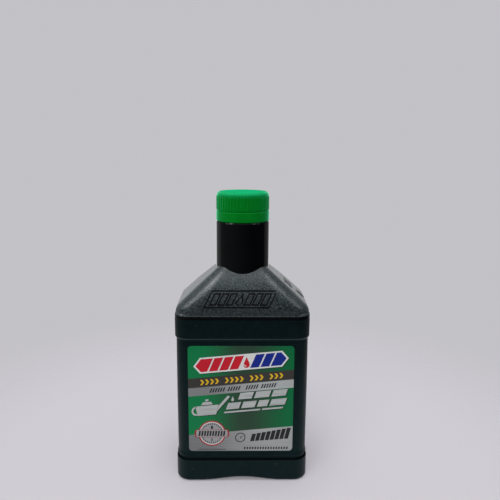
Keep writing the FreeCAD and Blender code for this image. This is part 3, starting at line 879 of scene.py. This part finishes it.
edge_turn = np.linspace(0, 2 * np.pi, 720, endpoint=False)
edge_reach = outline(edge_turn, LABEL_HALF_X, LABEL_HALF_Z, LABEL_CORNER_R)
reach = upright([0.5, 1, 1, 0.998, 0.995, 0.5]) * edge_reach
depth = upright([LABEL_BACK_Y, LABEL_BACK_Y], [LABEL_FACE_Y + 0.02], [LABEL_FACE_Y] * 3)
film_x = LABEL_MIDDLE_X + reach * np.cos(edge_turn)
film_z = LABEL_MIDDLE_Z + reach * np.sin(edge_turn)
film_points = np.stack(np.broadcast_arrays(film_x, depth, film_z), -1)
label = grid_mesh("label_film", film_points, wrap=True, start_pole=True, end_pole=True)
label.data.materials.append(label_film)
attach(label, "bottle")
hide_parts("front_label")

# The print: flat shapes of ink, each laid 0.02 mm further out than the last one. From
# the top they are a striped plaque with an oil drop, rows of marks, an oil can with
# slanted bars, a round seal, a dial with rising bars, and a scale at the foot.
INK_STEP = 0.02
SEAL_MIDDLE = (-22.3, -28.1)


def bar(left, right, low, high, lean=0.35):
    """Outline of a bar whose ends lean to the right."""
    shift = lean * (high - low)
    return np.array([(left, low), (right, low), (right + shift, high), (left + shift, high)])


def chevron(left, low, high, thick, reach):
    """Outline of an arrowhead that points to the right."""
    middle = (low + high) / 2
    right = left + thick
    outer = [(left, low), (right, low), (right + reach, middle), (right, high)]
    return np.array([*outer, (left, high), (left + reach, middle)])


def drop(u, w, size):
    """Outline of an oil drop: a circle whose width falls to nothing at its top.

    Across it is the size times the sine of the turn and the squared sine of half the turn.
    """
    turn = np.linspace(0, 2 * np.pi, 40, endpoint=False)
    return np.stack([u - size * np.sin(turn) * np.sin(turn / 2) ** 2 * 0.78, w + size * np.cos(turn)], -1)


def disc(u, w, radius, start=0, end=360, inner=0.0):
    """Outline of a disc, or of a part of a ring between two angles."""
    turn = np.radians(np.linspace(start, end, max(8, int((end - start) / 6)), endpoint=inner > 0))
    edge = np.stack([u + radius * np.cos(turn), w + radius * np.sin(turn)], -1)
    if inner == 0:
        return edge
    back = np.stack([u + inner * np.cos(turn[::-1]), w + inner * np.sin(turn[::-1])], -1)
    return np.concatenate([edge, back])


def hoop(u, w, inner, outer):
    """Outlines of the two halves of a ring."""
    return [disc(u, w, outer, 0, 180, inner), disc(u, w, outer, 180, 360, inner)]


def printed(name, layer, ink, shapes, slant=SLANT):
    """Flat shapes on the label's face, from outlines of points across and up from its middle.

    Each point is raised by the slant times its place across, so rows follow the bands.
    """
    points, faces, count = [], [], 0
    for outline_points in shapes:
        across, up = outline_points[:, 0], outline_points[:, 1]
        turned = np.sum(across * np.roll(up, -1) - np.roll(across, -1) * up)
        ordered = outline_points if turned > 0 else outline_points[::-1]
        height = ordered[:, 1] + slant * ordered[:, 0] + LABEL_MIDDLE_Z
        depth = np.full(len(ordered), LABEL_FACE_Y - layer * INK_STEP)
        points.append(np.stack([ordered[:, 0] + LABEL_MIDDLE_X, depth, height], -1) * MM)
        faces.append(tuple(range(count, count + len(ordered))))
        count += len(ordered)
    mesh = bpy.data.meshes.new(name)
    mesh.from_pydata(np.concatenate(points).tolist(), [], faces)
    mesh.materials.append(ink)
    piece = bpy.data.objects.new(name, mesh)
    bpy.context.scene.collection.objects.link(piece)
    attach(piece, "bottle")
    return piece


def ink(name, dark, light, roughness=0.4):
    """Printing ink: its colour slightly uneven along the brushed streaks of the film."""
    material = bpy.data.materials.new(name)
    material.use_nodes = True
    tree = material.node_tree
    shader = tree.nodes["Principled BSDF"]
    shader.inputs["Specular IOR Level"].default_value = 0.2
    place = add_node(tree, "ShaderNodeTexCoord").outputs["Object"]
    streaks = streaked(tree, place, 60.0, 2200.0, 3.0)
    tree.links.new(mixed(tree, ranged(tree, streaks, 0.3, 0.7), dark, light), shader.inputs["Base Color"])
    uneven = ranged(tree, streaks, 0.3, 0.7, roughness - 0.05, roughness + 0.05)
    tree.links.new(uneven, shader.inputs["Roughness"])
    return material


silver_ink = ink("silver_ink", (0.30, 0.31, 0.31), (0.46, 0.48, 0.47), 0.36)
dark_red_ink = ink("dark_red_ink", (0.26, 0.010, 0.020), (0.34, 0.014, 0.026))
seal_ink = ink("seal_silver_ink", (0.215, 0.22, 0.225), (0.32, 0.33, 0.33), 0.36)
white_ink = ink("white_ink", (0.56, 0.57, 0.56), (0.66, 0.67, 0.66))
red_ink = ink("red_ink", (0.44, 0.010, 0.022), (0.52, 0.014, 0.028))
blue_ink = ink("blue_ink", (0.006, 0.018, 0.190), (0.009, 0.024, 0.235))
amber_ink = ink("amber_ink", (0.56, 0.34, 0.012), (0.66, 0.42, 0.020))
dark_ink = ink("dark_ink", (0.012, 0.013, 0.014), (0.019, 0.020, 0.021))
shade_ink = ink("shade_ink", (0.006, 0.020, 0.012), (0.009, 0.026, 0.016))

plaque = np.array([(-36, 30.1), (-31, 23.8), (31, 23.8), (36, 30.1), (31, 36.5), (-31, 36.5)])
printed("plaque_shade", 0.5, shade_ink, [plaque + (0.5, -0.55)])
printed("plaque_white", 1, white_ink, [plaque])
left_end = np.array([(-34.4, 30.1), (-30.3, 25.0), (-25.6, 25.0), (-21.1, 35.3), (-30.3, 35.3)])
right_end = np.array([(34.4, 30.1), (30.3, 35.3), (26.9, 35.3), (22.4, 25.0), (30.3, 25.0)])
red_bars = [bar(left, left + 6.6, 25.0, 35.3, 0.437) for left in (-24.4, -16.6, -8.8)]
blue_bars = [bar(left, left + 6.6, 25.0, 35.3, 0.437) for left in (6.8, 14.6)]
printed("plaque_red", 2, red_ink, [left_end, *red_bars, drop(4.2, 29.9, 4.6)])
printed("plaque_blue", 2, blue_ink, [right_end, *blue_bars])
printed("drop_glint", 3, white_ink, [disc(4.2, 28.9, 2.5, 200, 265, 1.85)])

arrow_places = [-31 + 3.75 * n for n in range(17) if n not in (4, 9, 13)]
printed("amber_marks", 1, amber_ink, [chevron(left, 14.5, 18.8, 1.6, 1.5) for left in arrow_places])
tick_places = [-24 + 1.95 * n for n in range(26) if n not in (6, 12, 13, 19)]
printed("dark_marks", 1, dark_ink, [bar(left, left + 1.1, 7.8, 11.1, 0.4) for left in tick_places])

oil_can = [
    np.array([(-33, -10.5), (-19, -10.5), (-17, -2.6), (-35, -2.6)]),
    np.array([(-30.5, -2.0), (-21.5, -2.0), (-23, 0.4), (-29, 0.4)]),
    np.array([(-27.2, 0.9), (-24.8, 0.9), (-24.8, 2.6), (-27.2, 2.6)]),
    np.array([(-18.2, -8.0), (-17.0, -3.4), (-10.0, 4.2), (-8.4, 3.0)]),
    disc(-33.9, -6.4, 3.9, 95, 285, 2.5),
    drop(-6.3, 1.3, 2.1),
]
speed_bars = [
    bar(-2.2, 8.2, 0.2, 5.4),
    bar(10, 21.4, 0.2, 5.4),
    bar(23.2, 34, 0.2, 5.4),
    bar(-11.5, -1.6, -7.2, -2.0),
    bar(0.2, 10.4, -7.2, -2.0),
    bar(12.2, 20.0, -7.2, -2.0),
    bar(21.8, 33.5, -7.2, -2.0),
    bar(-13, 14.5, -10.2, -8.9),
    bar(16.0, 32.0, -10.2, -8.9),
]
printed("can_shade", 0.5, shade_ink, [shape + (0.55, -0.55) for shape in oil_can + speed_bars])
printed("can_silver", 1, silver_ink, oil_can + speed_bars)

ticks = [disc(*SEAL_MIDDLE, 8.5, angle, angle + 5, 7.4) for angle in range(0, 360, 12)]
ticks += [drop(-22.3, -22.5, 1.9), chevron(-23.5, -34.8, -32.4, 0.9, 1.2)]
ribbon = np.array([(-11.6, -2.9), (11.6, -2.9), (12.4, 0), (11.6, 2.9), (-11.6, 2.9), (-12.4, 0)])
banner = SEAL_MIDDLE + ribbon
printed("seal_red", 1, dark_red_ink, [disc(*SEAL_MIDDLE, 10.6)], slant=0)
printed("seal_white", 2, white_ink, [disc(*SEAL_MIDDLE, 9.6)], slant=0)
printed("seal_silver", 3, seal_ink, [disc(*SEAL_MIDDLE, 9.1)], slant=0)
printed("seal_ticks", 4, dark_ink, ticks, slant=0)
printed("seal_banner_red", 5, dark_red_ink, [banner + ribbon * (0.085, 0.10)], slant=0)
printed("seal_banner_silver", 6, seal_ink, [banner], slant=0)
banner_marks = [bar(left, left + 1.35, -30.3, -26.0, 0.15) for left in np.arange(-32.8, -12.5, 2.1)]
printed("seal_banner_marks", 7, dark_ink, banner_marks, slant=0)

rising = [bar(7.2 + 3.75 * n, 10.3 + 3.75 * n, -35.4, -29.4 + 0.42 * n, 0.25) for n in range(8)]
dial = hoop(-0.4, -31.6, 3.3, 4.0) + [np.array([(-0.9, -32.0), (-0.1, -32.6), (1.9, -29.6)])]
printed("grade_bars", 1, dark_ink, rising + dial, slant=0.075)
scale = [bar(left, left + 1.15, -41.6, -39.6, 0.1) for left in np.arange(2.4, 36.5, 2.05)]
printed("foot_scale", 1, dark_ink, scale, slant=0)
small_scale = [bar(left, left + 0.8, -42.0, -41.2, 0.1) for left in np.arange(-33.2, -12, 1.35)]
printed("foot_small_scale", 1, dark_ink, small_scale, slant=0)

# The oil: clear amber motor oil that fills the shell up into the neck. It keeps the
# solid's own shape, and faint swirls run through its colour.
OIL_DARK = (0.30, 0.130, 0.012)
OIL_LIGHT = (0.42, 0.200, 0.020)

oil_amber, tree, shader, place, cloud = plastic("amber_motor_oil", OIL_DARK, OIL_LIGHT, 0.08, 0.5, 25.0)
shader.inputs["Coat Weight"].default_value = 0.5
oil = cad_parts["oil"]
oil.data.materials.clear()
oil.data.materials.append(oil_amber)
